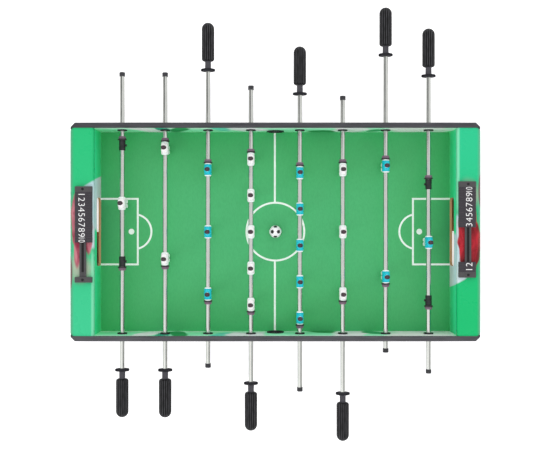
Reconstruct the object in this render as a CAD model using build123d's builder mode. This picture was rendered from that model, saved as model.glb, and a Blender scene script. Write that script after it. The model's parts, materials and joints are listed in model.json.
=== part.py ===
from build123d import *
import os

# Tabletop foosball with eight rods, in millimetres, +Z up. X runs from goal to goal and
# the rods run along Y. The origin is the middle of the table on the surface it stands on.
# Left is -X, right is +X, near is -Y and far is +Y. The white side plays towards +X.

# Cabinet
table_length = 951.0
table_width = 508.0
rail_top = 180.0
panel_thickness = 12.0
corner_chamfer = 10.0
edge_break = 0.6
foot_size = (40.0, 10.0, 8.0)
foot_inset = 35.0
pitch_top = 80.0
pitch_thickness = 8.0
pitch_groove = 4.0
goal_wall_face = 424.0
goal_wall_thickness = 6.0
goal_mouth = (164.0, 51.0, 12.0)
deck_top = 178.0
deck_thickness = 12.0
deck_overhang = 2.0
deck_nosing = 2.8
deck_corner_radius = 11.0
deck_corner_gap = 0.2
deck_outer_radius = 10.3
deck_inner_radius = 6.0
retrieval_hole = (90.0, 45.0, 35.0)
ramp_thickness = 6.0
ramp_high_end = (96.0, 71.0)
ramp_low_end = (1.0, 30.0)

# Ball and its entry cups
ball_radius = 15.0
cup_height = pitch_top + 28.0
cup_flange_radius = 20.5
cup_flange_thickness = 3.0
cup_barrel_radius = 18.5
cup_bore_radius = 16.8
cup_lip_length = 8.0

# Rods
rod_spacing = 101.7
centre_gap = 115.9
rod_height = pitch_top + 55.0
rod_radius = 5.75
rod_wall = 1.2
rod_assembly_length = 817.5
running_clearance = 0.05
bearing_flange_radius = 11.5
bearing_flange_thickness = 3.0
bearing_barrel_radius = 8.5
cap_radius = 6.75
cap_length = 10.0
cap_end_thickness = 2.0
cap_rounding = 1.5
bumper_flange = (10.6, 3.0)
bumper_ring = (8.5, 6.0)
side_gap = 0.3
collar_radius = 7.6
collar_length = 24.0
clamp_screw = (2.4, 3.0)

# Handles
grip_radius = 14.2
grip_length = 91.7
grip_near_radius = 6.0
neck_radius = 6.9
neck_length = 21.0
hand_guard = (16.6, 3.0)
grip_end_wall = 14.0

# Players, from the rod's axis
player_width = 31.0
foot_reach = 48.6
boot_block = (10.5, 20.0, 2.0)
boot_forward = 0.25
boot_height = 10.0
shin = (9.0, 14.0)
hips = (15.0, 21.0)
waist = (16.0, 25.0)
chest = (17.0, 28.0)
shoulders = (11.0, 20.0)
hip_height = -14.0
waist_height = 2.0
chest_height = 13.0
shoulder_height = 21.0
leg_corner = 4.0
body_corner = 6.0
shoulder_corner = 4.5
sleeve = (17.0, 24.0, 7.0)
sleeve_rise = 3.0
neck = (3.6, 8.0)
neck_start = 20.0
head_radius = 6.5
head_top = 36.0

# Score counters
counter_x = 444.5
rail_x = 446.5
counter_offset = 5.75
bead_count = 10
bead_pitch = 11.76
bead_gap = 0.2
bead_width = 40.0
bead_top = 7.6
bead_bottom = 0.4
bead_corner = 1.2
counter_free_travel = 80.0
counter_end_length = 12.7
counter_end_corner = 1.0
slide_clearance = 0.3
rail_stem = (7.0, 2.5)
rail_head = (15.0, 2.5)
rail_slot = (4.0, 1.2)
bead_rib_width = 3.0
bead_rib_length = 15.0
bead_rib_depth = 0.8
bead_rib_start = 6.0

# Screws
screw_shank_radius = 1.75
screw_length = 34.0
screw_head_radius = 4.5
screw_head_height = 2.2
screw_head_taper = 12
screw_hole_spare = 1.0
screw_heights = (40.0, 100.0, 150.0)
screw_clearance = 0.05
counter_screw_radius = 1.6
counter_screw_head = (3.2, 2.2)
counter_screw_length = 11.0

half_length = table_length / 2
half_width = table_width / 2
inner_half_width = half_width - panel_thickness
deck_bottom = deck_top - deck_thickness
foot_height = foot_size[2]
cavity_start = goal_wall_face + goal_wall_thickness
cavity_end = half_length - panel_thickness
handle_length = hand_guard[1] + neck_length + grip_length
counter_inner_length = bead_count * bead_pitch + counter_free_travel

# What stands on each kind of rod: where the players are from the middle of their row, and
# how far that middle is from the middle of the whole rod, towards the rod's end cap.
player_rows = {
    "goalie": ([0.0], 98.0),
    "defence": ([-130.7, 130.7], 98.0),
    "attack": ([-146.8, 0.0, 146.8], 86.8),
    "midfield": ([-171.6, -85.8, 0.0, 85.8, 171.6], 62.5),
}
goalie_collar_offset = 137.5

# Name, kind, step of the rod from the middle of the table (negative to the left), which
# side the handle is on, which way the players face, and where the row stands at rest.
rods = [
    ("white_goalie", "goalie", -4, -1, 1, 67.3),
    ("white_defence", "defence", -3, -1, 1, 66.8),
    ("blue_attack", "attack", -2, 1, -1, 0.0),
    ("white_midfield", "midfield", -1, -1, 1, 0.0),
    ("blue_midfield", "midfield", 1, 1, -1, -31.9),
    ("white_attack", "attack", 2, -1, 1, 0.0),
    ("blue_defence", "defence", 3, 1, -1, 24.8),
    ("blue_goalie", "goalie", 4, 1, -1, -24.9),
]

os.makedirs("parts", exist_ok=True)


def across(y):
    """The plane across the rods at this Y: sketch x is X and sketch y is Z."""
    return Plane.XZ.offset(-y)


def save(part, label):
    """Label a finished piece and write it."""
    part.label = label
    export_step(part, f"parts/{label}.step")


def rod_x(step):
    """The X of the rod this many steps from the middle."""
    side = 1 if step > 0 else -1
    return side * (centre_gap / 2 + rod_spacing * (abs(step) - 1))


rod_places = [(rod_x(step), rod_height) for step in (-4, -3, -2, -1, 1, 2, 3, 4)]

# Side panels: full length, with the rod bearings, the ball entry and the pitch board's groove
side_screw_spots = [
    (side * x, z)
    for side in (-1, 1)
    for x in (half_length - panel_thickness / 2, goal_wall_face + goal_wall_thickness / 2)
    for z in screw_heights
]

screw_hole_depth = screw_length - panel_thickness + screw_hole_spare

# The middles of the arcs that the end decks' outer corners are rounded to
deck_end = half_length + deck_nosing
deck_corners = [
    (side * (deck_end - deck_corner_radius), end * (inner_half_width - deck_corner_radius))
    for side in (-1, 1)
    for end in (-1, 1)
]

for side, name in ((-1, "near_side_panel"), (1, "far_side_panel")):
    inner = side * inner_half_width
    outer = side * half_width
    with BuildPart() as side_panel:
        with BuildSketch(Plane.XY.offset(foot_height)):
            with BuildLine():
                Polyline(
                    (-half_length, inner),
                    (-half_length, outer - side * corner_chamfer),
                    (-half_length + corner_chamfer, outer),
                    (half_length - corner_chamfer, outer),
                    (half_length, outer - side * corner_chamfer),
                    (half_length, inner),
                    close=True,
                )
            make_face()
        extrude(amount=rail_top - foot_height)
        chamfer(side_panel.edges().group_by(Axis.Z)[-1], edge_break)
        # Small returns at both ends, which close round the end decks' rounded corners
        with BuildSketch(Plane.XY.offset(deck_bottom)):
            for x, y in deck_corners:
                if y * side > 0:
                    with Locations((x, y)):
                        Rectangle(
                            deck_corner_radius - deck_nosing,
                            deck_corner_radius,
                            align=(Align.MIN if x > 0 else Align.MAX, Align.MIN if y > 0 else Align.MAX),
                        )
                        Circle(deck_corner_radius + deck_corner_gap, mode=Mode.SUBTRACT)
        extrude(amount=rail_top - deck_bottom)
        with Locations((0, inner, pitch_top - pitch_thickness / 2)):
            Box(2 * goal_wall_face, 2 * pitch_groove, pitch_thickness, mode=Mode.SUBTRACT)
        with BuildSketch(across(inner)):
            with Locations(*rod_places):
                Circle(bearing_barrel_radius)
            with Locations((0, cup_height)):
                Circle(cup_barrel_radius)
            with Locations(*side_screw_spots):
                Circle(screw_shank_radius + screw_clearance)
        extrude(amount=-side * panel_thickness, mode=Mode.SUBTRACT)
    save(side_panel.part, name)

# End panels, with the hole that a scored ball is taken out through
for side, name in ((-1, "left_end_panel"), (1, "right_end_panel")):
    hole_width, hole_height, hole_offset = retrieval_hole
    with BuildPart() as end_panel:
        with BuildSketch(Plane.YZ.offset(side * cavity_end)):
            with Locations((0, (deck_bottom + foot_height) / 2)):
                Rectangle(2 * inner_half_width, deck_bottom - foot_height)
            with Locations((-side * hole_offset, foot_height + hole_height / 2)):
                Rectangle(hole_width, hole_height, mode=Mode.SUBTRACT)
        extrude(amount=side * panel_thickness)
        for end in (-1, 1):
            with BuildSketch(across(end * inner_half_width)):
                with Locations(*[(x, z) for x, z in side_screw_spots if x * side > cavity_end]):
                    Circle(screw_shank_radius + screw_clearance)
            extrude(amount=end * screw_hole_depth, mode=Mode.SUBTRACT)
    save(end_panel.part, name)

# Goal walls, which close the pitch's ends and hold the goal mouths
for side, name in ((-1, "left_goal_wall"), (1, "right_goal_wall")):
    mouth_width, mouth_height, mouth_radius = goal_mouth
    with BuildPart() as goal_wall:
        with BuildSketch(Plane.YZ.offset(side * goal_wall_face)):
            with Locations((0, (deck_bottom + foot_height) / 2)):
                Rectangle(2 * inner_half_width, deck_bottom - foot_height)
            with Locations((0, pitch_top + mouth_height / 2)):
                RectangleRounded(mouth_width, mouth_height, mouth_radius, mode=Mode.SUBTRACT)
        extrude(amount=side * goal_wall_thickness)
        for end in (-1, 1):
            with BuildSketch(across(end * inner_half_width)):
                with Locations(*[(x, z) for x, z in side_screw_spots if 0 < x * side < cavity_end]):
                    Circle(screw_shank_radius + screw_clearance)
            extrude(amount=end * screw_hole_depth, mode=Mode.SUBTRACT)
    save(goal_wall.part, name)

# End decks: the bullnosed boards that cover the goal boxes and carry the score counters
counter_end_reach = (counter_inner_length + counter_end_length) / 2
counter_screw_spots = [
    (side * rail_x, side * counter_offset + end * counter_end_reach)
    for side in (-1, 1)
    for end in (-1, 1)
]
deck_start = goal_wall_face - deck_overhang

for side, name in ((-1, "left_end_deck"), (1, "right_end_deck")):
    with BuildPart() as end_deck:
        with BuildSketch(Plane.XZ) as deck_profile:
            with Locations((side * (deck_end + deck_start) / 2, deck_top - deck_thickness / 2)):
                Rectangle(deck_end - deck_start, deck_thickness)
            towards_end = Axis((0, 0, 0), (side, 0, 0))
            outer_corner = deck_profile.vertices().group_by(Axis.Y)[-1].sort_by(towards_end)[-1]
            fillet(outer_corner, deck_outer_radius)
            inner_corner = deck_profile.vertices().group_by(Axis.Y)[-1].sort_by(towards_end)[0]
            fillet(inner_corner, deck_inner_radius)
        extrude(amount=inner_half_width, both=True)
        with BuildSketch(Plane.XY.offset(deck_bottom)):
            RectangleRounded(2 * deck_end, 2 * inner_half_width, deck_corner_radius)
        extrude(amount=deck_thickness, mode=Mode.INTERSECT)
        with BuildSketch(Plane.XY.offset(deck_top)):
            with Locations(*[(x, y) for x, y in counter_screw_spots if x * side > 0]):
                Circle(counter_screw_radius + screw_clearance)
        extrude(amount=-deck_thickness, mode=Mode.SUBTRACT)
    save(end_deck.part, name)

# Pitch board, held in the side panels' grooves
with BuildPart() as pitch_board:
    with BuildSketch(Plane.XY.offset(pitch_top - pitch_thickness)):
        Rectangle(2 * goal_wall_face, 2 * (inner_half_width + pitch_groove))
    extrude(amount=pitch_thickness)
save(pitch_board.part, "pitch_board")

# Ramps under one half of each goal, which lead a scored ball down to the retrieval hole
with BuildPart() as goal_ramps:
    for side in (-1, 1):
        (high_y, high_z), (low_y, low_z) = ramp_high_end, ramp_low_end
        with BuildSketch(Plane.YZ.offset(side * cavity_start)):
            with BuildLine():
                Polyline(
                    (side * high_y, high_z),
                    (side * low_y, low_z),
                    (side * low_y, low_z - ramp_thickness),
                    (side * high_y, high_z - ramp_thickness),
                    close=True,
                )
            make_face()
        extrude(amount=side * (cavity_end - cavity_start))
save(goal_ramps.part, "goal_ramps")

# Rod bearings: a flanged bush from the inside and a retaining ring on the outside
with BuildPart() as rod_bearings:
    for side in (-1, 1):
        with BuildSketch(across(side * inner_half_width)):
            with Locations(*rod_places):
                Circle(bearing_flange_radius)
        extrude(amount=side * bearing_flange_thickness)
        with BuildSketch(across(side * inner_half_width)):
            with Locations(*rod_places):
                Circle(bearing_barrel_radius)
        extrude(amount=-side * (panel_thickness + bearing_flange_thickness))
        with BuildSketch(across(side * (inner_half_width - bearing_flange_thickness))):
            with Locations(*rod_places):
                Circle(rod_radius + running_clearance)
        extrude(
            amount=-side * (panel_thickness + 2 * bearing_flange_thickness), mode=Mode.SUBTRACT
        )
        with BuildSketch(across(side * half_width)):
            with Locations(*rod_places):
                Circle(bearing_flange_radius)
                Circle(bearing_barrel_radius + running_clearance, mode=Mode.SUBTRACT)
        extrude(amount=-side * bearing_flange_thickness)
save(rod_bearings.part, "rod_bearings")

# Ball entry cups: a flanged tube through each side panel, with a lip outside to rest the ball on
with BuildPart() as ball_entry_cups:
    for side in (-1, 1):
        with BuildSketch(across(side * inner_half_width)):
            with Locations((0, cup_height)):
                Circle(cup_flange_radius)
        extrude(amount=side * cup_flange_thickness)
        with BuildSketch(across(side * inner_half_width)):
            with Locations((0, cup_height)):
                Circle(cup_barrel_radius)
        extrude(amount=-side * panel_thickness)
        with BuildSketch(across(side * half_width)):
            with Locations((0, cup_height)):
                Circle(cup_flange_radius)
            with Locations((0, cup_height + cup_flange_radius)):
                Rectangle(2 * cup_flange_radius, 2 * cup_flange_radius, mode=Mode.SUBTRACT)
        extrude(amount=-side * cup_lip_length)
        with BuildSketch(across(side * half_width)):
            with Locations((0, cup_height)):
                Circle(cup_flange_radius)
        extrude(amount=-side * cup_flange_thickness)
        with BuildSketch(across(side * (inner_half_width - cup_flange_thickness))):
            with Locations((0, cup_height)):
                Circle(cup_bore_radius)
        extrude(
            amount=-side * (panel_thickness + cup_flange_thickness + cup_lip_length),
            mode=Mode.SUBTRACT,
        )
save(ball_entry_cups.part, "ball_entry_cups")

# Rubber feet
with BuildPart() as feet:
    with BuildSketch():
        with GridLocations(
            2 * (half_length - foot_inset), 2 * (half_width - panel_thickness / 2), 2, 2
        ):
            SlotOverall(foot_size[0], foot_size[1])
    extrude(amount=foot_height)
save(feet.part, "feet")

# Score rails: a T-shaped track between two screwed-down end blocks
with BuildPart() as score_rails:
    stem_width, stem_height = rail_stem
    head_width, head_height = rail_head
    slot_width, slot_depth = rail_slot
    head_bottom = deck_top + stem_height
    head_top_z = head_bottom + head_height
    for side in (-1, 1):
        middle = (side * rail_x, side * counter_offset)
        with BuildSketch(Plane.XY.offset(deck_top)):
            with Locations(middle):
                Rectangle(stem_width, counter_inner_length)
        extrude(amount=stem_height)
        with BuildSketch(Plane.XY.offset(head_bottom)):
            with Locations(middle):
                Rectangle(head_width, counter_inner_length)
        extrude(amount=head_height)
        with BuildSketch(Plane.XY.offset(head_top_z)):
            with Locations(middle):
                Rectangle(slot_width, counter_inner_length)
        extrude(amount=-slot_depth, mode=Mode.SUBTRACT)
        end_spots = [(x, y) for x, y in counter_screw_spots if x * side > 0]
        with BuildSketch(Plane.XY.offset(deck_top)):
            with Locations(*[(side * counter_x, y) for x, y in end_spots]):
                RectangleRounded(bead_width, counter_end_length, counter_end_corner)
        extrude(amount=bead_top)
        with BuildSketch(Plane.XY.offset(deck_top + bead_top)):
            with Locations(*end_spots):
                Circle(counter_screw_head[0] + screw_clearance)
        extrude(amount=-counter_screw_head[1] - screw_clearance, mode=Mode.SUBTRACT)
        with BuildSketch(Plane.XY.offset(deck_top)):
            with Locations(*end_spots):
                Circle(counter_screw_radius + screw_clearance)
        extrude(amount=bead_top, mode=Mode.SUBTRACT)
save(score_rails.part, "score_rails")

# One score bead, at the middle of a counter on the deck, its ribs on the +X side
with BuildPart() as bead:
    with BuildSketch(Plane.XZ):
        with Locations((0, (bead_top + bead_bottom) / 2)):
            RectangleRounded(bead_width, bead_top - bead_bottom, bead_corner)
        with Locations((counter_x - rail_x, rail_stem[1] + rail_head[1] / 2)):
            Rectangle(
                rail_head[0] + 2 * slide_clearance,
                rail_head[1] + 2 * slide_clearance,
                mode=Mode.SUBTRACT,
            )
        with Locations((counter_x - rail_x, 0)):
            Rectangle(rail_stem[0] + 2 * slide_clearance, 2 * rail_stem[1], mode=Mode.SUBTRACT)
    extrude(amount=(bead_pitch - bead_gap) / 2, both=True)
    with BuildSketch(Plane.XY.offset(bead_top)):
        with Locations((bead_rib_start + bead_rib_length / 2, 0)):
            with GridLocations(0, bead_pitch / 2, 1, 2):
                Rectangle(bead_rib_length, bead_rib_width)
    extrude(amount=-bead_rib_depth, mode=Mode.SUBTRACT)


def bead_places(side, numbers, slid):
    """Where these beads of the counter on this side stand: slid ones wait at its other end."""
    travel = counter_free_travel if slid else 0
    first = (counter_inner_length - bead_pitch) / 2
    return [
        (
            side * counter_x,
            side * counter_offset - side * (first - (number - 1) * bead_pitch - travel),
            deck_top,
        )
        for number in numbers
    ]


# The ten beads of each counter. The digit 1 is at the left counter's far end and at the
# right counter's near end; the right counter's beads 3 to 10 are pushed away from 1 and 2.
bead_groups = [
    ("left_beads_1_to_9", -1, range(1, 10), False),
    ("left_bead_10", -1, range(10, 11), False),
    ("right_beads_1_to_2", 1, range(1, 3), False),
    ("right_beads_3_to_10", 1, range(3, 11), True),
]

for name, side, numbers, slid in bead_groups:
    with BuildPart() as beads:
        with Locations(*bead_places(side, numbers, slid)):
            add(bead.part, rotation=(0, 0, 180 if side > 0 else 0))
    save(beads.part, name)

# Screws: through the side panels into the end panels and goal walls, and into the decks
with BuildPart() as assembly_screws:
    for side in (-1, 1):
        with BuildSketch(across(side * half_width)):
            with Locations(*side_screw_spots):
                Circle(screw_shank_radius)
        extrude(amount=side * screw_length)
        with BuildSketch(across(side * half_width)):
            with Locations(*side_screw_spots):
                Circle(screw_head_radius)
        extrude(amount=-side * screw_head_height, taper=screw_head_taper)
    head_radius, head_height = counter_screw_head
    with BuildSketch(Plane.XY.offset(deck_top + bead_top)):
        with Locations(*counter_screw_spots):
            Circle(head_radius)
    extrude(amount=-head_height)
    with BuildSketch(Plane.XY.offset(deck_top + bead_top)):
        with Locations(*counter_screw_spots):
            Circle(counter_screw_radius)
    extrude(amount=-head_height - counter_screw_length)
save(assembly_screws.part, "assembly_screws")

# Ball, on the centre spot
with BuildPart() as ball:
    with Locations((0, 0, pitch_top + ball_radius)):
        Sphere(ball_radius)
save(ball.part, "ball")

# One player, with the rod's axis along Y through the origin, facing +X
with BuildPart() as player:
    # Boots, as one block
    with BuildSketch(Plane.XY.offset(-foot_reach)):
        with Locations((boot_forward, 0)):
            RectangleRounded(*boot_block)
    extrude(amount=boot_height)
    # Legs and shorts, the body from hips to chest, and the shoulders
    sections = (
        (leg_corner, ((boot_height - foot_reach, shin), (hip_height, hips))),
        (body_corner, ((hip_height, hips), (waist_height, waist), (chest_height, chest))),
        (shoulder_corner, ((chest_height, chest), (shoulder_height, shoulders))),
    )
    for corner, levels in sections:
        for height, plan in levels:
            with BuildSketch(Plane.XY.offset(height)):
                RectangleRounded(*plan, corner)
        loft()
    # Sleeves round the rod
    with BuildSketch(Plane.XZ):
        with Locations((0, sleeve_rise)):
            RectangleRounded(*sleeve)
    extrude(amount=player_width / 2, both=True)
    # Neck and head
    with BuildSketch(Plane.XY.offset(neck_start)):
        Circle(neck[0])
    extrude(amount=neck[1])
    with Locations((0, 0, head_top - head_radius)):
        Sphere(head_radius)
    # The rod's bore
    with BuildSketch(Plane.XZ):
        Circle(rod_radius)
    extrude(amount=player_width, both=True, mode=Mode.SUBTRACT)

# One stop collar of a goalie's rod, its clamp screw towards +X
with BuildPart() as collar:
    with BuildSketch(Plane.XZ):
        Circle(collar_radius)
        Circle(rod_radius, mode=Mode.SUBTRACT)
    extrude(amount=collar_length / 2, both=True)
    with BuildSketch(Plane.YZ.offset((collar_radius + rod_radius) / 2)):
        Circle(clamp_screw[0])
    extrude(amount=(collar_radius - rod_radius) / 2 + clamp_screw[1])

# The eight rods, each with its players, handle, end cap and loose bumpers
for rod_name, kind, step, handle_side, facing, rest_y in rods:
    offsets, row_offset = player_rows[kind]
    x = rod_x(step)
    cap_end = rest_y - handle_side * (rod_assembly_length / 2 - row_offset)
    grip_end = rest_y + handle_side * (rod_assembly_length / 2 + row_offset)
    rod_start = cap_end + handle_side * cap_end_thickness
    rod_end = grip_end - handle_side * grip_end_wall
    turn = 0 if facing > 0 else 180

    with BuildPart() as rod:
        with BuildSketch(across(rod_start)):
            with Locations((x, rod_height)):
                Circle(rod_radius)
                Circle(rod_radius - rod_wall, mode=Mode.SUBTRACT)
        extrude(amount=rod_start - rod_end)
    save(rod.part, f"{rod_name}_rod")

    with BuildPart() as players:
        with Locations(*[(x, rest_y + offset, rod_height) for offset in offsets]):
            add(player.part, rotation=(0, 0, turn))
        if kind == "goalie":
            with Locations(
                *[(x, rest_y + end * goalie_collar_offset, rod_height) for end in (-1, 1)]
            ):
                add(collar.part, rotation=(0, 0, turn))
    save(players.part, f"{rod_name}_players")

    with BuildPart() as end_cap:
        with BuildSketch(across(cap_end)):
            with Locations((x, rod_height)):
                Circle(cap_radius)
        extrude(amount=-handle_side * cap_length)
        with BuildSketch(across(rod_start)):
            with Locations((x, rod_height)):
                Circle(rod_radius)
        extrude(amount=-handle_side * cap_length, mode=Mode.SUBTRACT)
        rim = end_cap.edges().filter_by(GeomType.CIRCLE).sort_by(Axis.Y)
        fillet(rim[0] if handle_side > 0 else rim[-1], cap_rounding)
    save(end_cap.part, f"{rod_name}_end_cap")

    # The handle is drawn from its guard outwards: u runs along the rod, v is the radius
    guard_radius, guard_thickness = hand_guard
    with BuildPart() as handle:
        guard_y = grip_end - handle_side * handle_length
        profile_plane = Plane(
            origin=(x, guard_y, rod_height), x_dir=(0, handle_side, 0), z_dir=(1, 0, 0)
        )
        with BuildSketch(profile_plane):
            with BuildLine():
                grip_start = guard_thickness + neck_length
                Polyline(
                    (0, 0),
                    (0, guard_radius),
                    (guard_thickness, guard_radius),
                    (guard_thickness, neck_radius),
                    (grip_start, neck_radius),
                    (grip_start, grip_radius - grip_near_radius),
                )
                near_curve = TangentArc(
                    (grip_start, grip_radius - grip_near_radius),
                    (grip_start + grip_near_radius, grip_radius),
                    tangent=(0, 1),
                )
                straight = Line(near_curve @ 1, (handle_length - grip_radius, grip_radius))
                far_curve = TangentArc(straight @ 1, (handle_length, 0), tangent=(1, 0))
                Line(far_curve @ 1, (0, 0))
            make_face()
        revolve(axis=Axis((x, guard_y, rod_height), (0, handle_side, 0)))
        with BuildSketch(across(guard_y)):
            with Locations((x, rod_height)):
                Circle(rod_radius)
        extrude(amount=-handle_side * (handle_length - grip_end_wall), mode=Mode.SUBTRACT)
    save(handle.part, f"{rod_name}_handle")

    row_half = (
        goalie_collar_offset + collar_length / 2
        if kind == "goalie"
        else offsets[-1] + player_width / 2
    )
    with BuildPart() as bumpers:
        for end in (-1, 1):
            start = rest_y + end * (row_half + side_gap)
            for (radius, length), begin in ((bumper_flange, 0), (bumper_ring, bumper_flange[1])):
                with BuildSketch(across(start + end * begin)):
                    with Locations((x, rod_height)):
                        Circle(radius)
                        Circle(rod_radius + running_clearance, mode=Mode.SUBTRACT)
                extrude(amount=-end * length)
    save(bumpers.part, f"{rod_name}_bumpers")
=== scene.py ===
import json
import math

import bmesh
import bpy
from mathutils import Matrix, Vector


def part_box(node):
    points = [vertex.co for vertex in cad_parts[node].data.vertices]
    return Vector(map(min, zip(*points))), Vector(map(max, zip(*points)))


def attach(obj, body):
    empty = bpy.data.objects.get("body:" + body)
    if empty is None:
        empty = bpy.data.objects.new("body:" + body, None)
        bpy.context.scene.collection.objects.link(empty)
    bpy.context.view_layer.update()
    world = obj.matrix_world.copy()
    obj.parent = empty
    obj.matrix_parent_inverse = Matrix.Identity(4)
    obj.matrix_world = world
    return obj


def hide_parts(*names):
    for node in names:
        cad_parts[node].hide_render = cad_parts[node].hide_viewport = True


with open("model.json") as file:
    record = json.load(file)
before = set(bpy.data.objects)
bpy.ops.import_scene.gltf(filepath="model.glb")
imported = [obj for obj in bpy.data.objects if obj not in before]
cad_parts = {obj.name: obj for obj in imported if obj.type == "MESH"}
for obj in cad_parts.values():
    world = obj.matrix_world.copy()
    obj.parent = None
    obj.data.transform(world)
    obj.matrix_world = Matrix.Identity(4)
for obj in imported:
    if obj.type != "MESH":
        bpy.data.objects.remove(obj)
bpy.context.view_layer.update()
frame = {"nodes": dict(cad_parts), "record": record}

MM = 0.001
RODS = [name[:-4] for name in frame["nodes"] if name.endswith("_rod")]

# Levels and faces that everything else is placed by, read from the frame
board_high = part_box("pitch_board")[1]
PITCH = board_high[2]
HALF_PITCH_X = board_high[0]
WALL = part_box("left_goal_wall")[1][1]
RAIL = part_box("far_side_panel")[1][2]
deck_low, deck_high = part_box("right_end_deck")
DECK = deck_high[2]
DECK_INNER = deck_low[0]
TABLE_END = deck_high[0]
BEAD_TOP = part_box("left_bead_10")[1][2]
RAIL_MIDDLE = 446.5 * MM
SLOT_END = 93.0 * MM


# ---------------------------------------------------------------- materials


def srgb(red, green, blue):
    """The linear colour of an sRGB colour given from 0 to 255."""

    def linear(value):
        value /= 255
        return value / 12.92 if value <= 0.04045 else ((value + 0.055) / 1.055) ** 2.4

    return (linear(red), linear(green), linear(blue), 1.0)


class Nodes:
    """Shader nodes that are put together in one tree."""

    def __init__(self, tree):
        self.tree = tree

    def node(self, kind, inputs=None, out=0, **settings):
        """Adds a node, sets or links its inputs, and gives one of its outputs."""
        made = self.tree.nodes.new("ShaderNode" + kind)
        for setting, value in settings.items():
            setattr(made, setting, value)
        for key, value in (inputs or {}).items():
            if isinstance(value, bpy.types.NodeSocket):
                self.tree.links.new(value, made.inputs[key])
            else:
                made.inputs[key].default_value = value
        return made.outputs[out]

    def math(self, operation, *values):
        return self.node("Math", dict(enumerate(values)), operation=operation)

    def mix(self, share, first, second):
        """first where share is 0 and second where it is 1."""
        return self.node("Mix", {0: share, 6: first, 7: second}, out=2, data_type="RGBA")

    def step(self, value, low, high, start=0.0, end=1.0):
        """A smooth step from start at low to end at high."""
        return self.node(
            "MapRange",
            {0: value, 1: low, 2: high, 3: start, 4: end},
            interpolation_type="SMOOTHSTEP",
        )

    def split(self, value):
        """The X, Y and Z of a vector."""
        apart = self.tree.nodes.new("ShaderNodeSeparateXYZ")
        self.tree.links.new(value, apart.inputs[0])
        return apart.outputs

    def ramp(self, value, stops):
        """Colours along a value: stops are (position, colour)."""
        made = self.tree.nodes.new("ShaderNodeValToRGB")
        self.tree.links.new(value, made.inputs[0])
        elements = made.color_ramp.elements
        elements[0].position, elements[0].color = stops[0]
        elements[1].position, elements[1].color = stops[-1]
        for position, colour in stops[1:-1]:
            elements.new(position).color = colour
        return made.outputs[0]


class Look(Nodes):
    """A material being put together from nodes. Its coordinates are the piece's own, in metres."""

    def __init__(self, name, **sockets):
        self.material = bpy.data.materials.new(name)
        self.material.use_nodes = True
        super().__init__(self.material.node_tree)
        self.shader = self.tree.nodes["Principled BSDF"]
        for socket, value in sockets.items():
            self.shader.inputs[socket.replace("_", " ")].default_value = value
        self.place = self.node("TexCoord", out="Object")
        self.x, self.y, self.z = self.split(self.place)

    def noise(self, scale, detail=2.0, stretch=(1, 1, 1), distortion=0.0):
        """Noise from 0 to 1. scale is in features a metre, and stretch draws them out."""
        place = self.node(
            "Mapping", {"Vector": self.place, "Scale": [1 / factor for factor in stretch]}
        )
        return self.node(
            "TexNoise",
            {"Vector": place, "Scale": scale, "Detail": detail, "Distortion": distortion},
        )

    def blob(self, u, v, centre, radii, soft, warp=None):
        """1 inside an ellipse and 0 outside, its edge pushed about by warp."""
        across = self.math("DIVIDE", self.math("SUBTRACT", u, centre[0]), radii[0])
        along = self.math("DIVIDE", self.math("SUBTRACT", v, centre[1]), radii[1])
        squares = self.math("ADD", self.math("POWER", self.math("ABSOLUTE", across), 2.0),
                            self.math("POWER", self.math("ABSOLUTE", along), 2.0))
        distance = self.math("SQRT", squares)
        if warp is not None:
            distance = self.math("ADD", distance, warp)
        return self.step(distance, 1 - soft, 1 + soft, 1.0, 0.0)

    def colour(self, value):
        self.tree.links.new(value, self.shader.inputs["Base Color"])
        return self

    def vary(self, base, share=0.08, scale=60.0, detail=3.0):
        """The base colour, darker and lighter in soft patches."""
        light = self.step(self.noise(scale, detail), 0.3, 0.7, 1 - share, 1 + share)
        return self.node("VectorMath", {0: base[:3], 3: light}, operation="SCALE")

    def rough(self, low, high, scale=120.0, stretch=(1, 1, 1)):
        """Roughness between two values, in patches."""
        value = self.step(self.noise(scale, 4.0, stretch), 0.3, 0.7, low, high)
        self.tree.links.new(value, self.shader.inputs["Roughness"])
        return self

    def bump(self, height, distance, strength=1.0):
        """distance is the height of the relief, in metres."""
        normal = self.node("Bump", {"Height": height, "Distance": distance, "Strength": strength})
        self.tree.links.new(normal, self.shader.inputs["Normal"])
        return self


def plastic(name, colour, roughness, grain=1400.0, relief=0.00004, share=0.06, **sockets):
    """Moulded plastic: a fine grain, slight flow marks and uneven gloss."""
    look = Look(name, **sockets)
    look.colour(look.vary(colour, share, 90.0))
    look.rough(roughness * 0.85, roughness * 1.15, 300.0)
    look.bump(look.noise(grain, 2.0), relief, 0.5)
    return look.material


def chrome(name):
    """Polished chrome plate with faint marks drawn along the rod."""
    look = Look(name, Metallic=1.0)
    look.colour(look.vary(srgb(190, 192, 188), 0.04, 25.0))
    look.rough(0.07, 0.16, 500.0, (1, 12, 1))
    look.bump(look.noise(900.0, 3.0, (1, 20, 1)), 0.00001, 0.4)
    return look.material


def bare_mdf(name):
    """Raw fibreboard: brown, flecked and matt."""
    look = Look(name)
    flecks = look.noise(1500.0, 4.0)
    look.colour(look.ramp(
        flecks, [(0.3, srgb(138, 92, 52)), (0.5, srgb(192, 138, 88)), (0.75, srgb(222, 174, 124))]
    ))
    look.rough(0.75, 0.95, 200.0)
    look.bump(flecks, 0.00015, 0.7)
    return look.material


PRINT_GLOSS = 0.22


def print_finish(look, low=0.28, high=0.42):
    """The satin film over a print: uneven gloss and a faint orange peel."""
    look.shader.inputs["Specular IOR Level"].default_value = PRINT_GLOSS
    look.rough(low, high, 40.0)
    look.bump(look.noise(450.0, 2.0), 0.00003, 0.4)
    return look.material


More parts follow.
